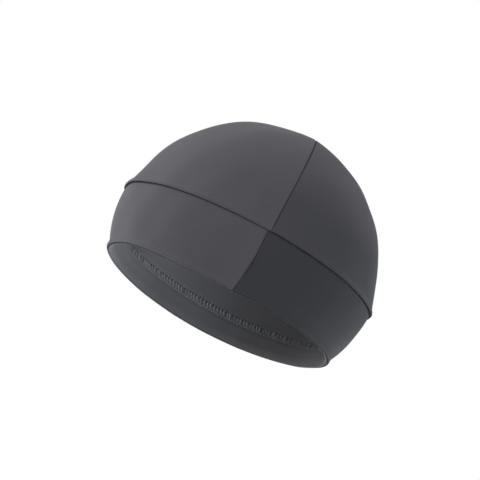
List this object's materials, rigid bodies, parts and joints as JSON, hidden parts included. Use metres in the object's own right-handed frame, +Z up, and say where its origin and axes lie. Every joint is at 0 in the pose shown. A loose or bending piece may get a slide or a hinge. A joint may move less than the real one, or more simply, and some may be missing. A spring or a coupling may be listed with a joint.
{
  "type": "skull beanie",
  "caption": "Close-fitting skull cap of stretch jersey: domed crown in two halves with a front-to-back seam, plain band and turned-up hem, filled out as worn.",
  "frame": {"origin": "middle of the head opening, level with the hem's fold at the back, where the head goes in", "axes": "+Z up through the crown, front of the cap at -Y, +Y from brow to nape, wearer's left at +X"},
  "size_m": [0.1668, 0.1984, 0.1204],
  "materials": {
    "jersey": "matt dark grey stretch jersey, smooth right side with a slight sheen at grazing angles",
    "jersey_wrong_side": "matt grey jersey, the paler wrong side",
    "thread": "grey polyester overlock thread, a tone lighter than the cloth"
  },
  "bodies": {
    "root": {"crown_left_half": "jersey", "crown_right_half": "jersey", "band": "jersey", "hem": "jersey_wrong_side"}
  },
  "joints": []
}
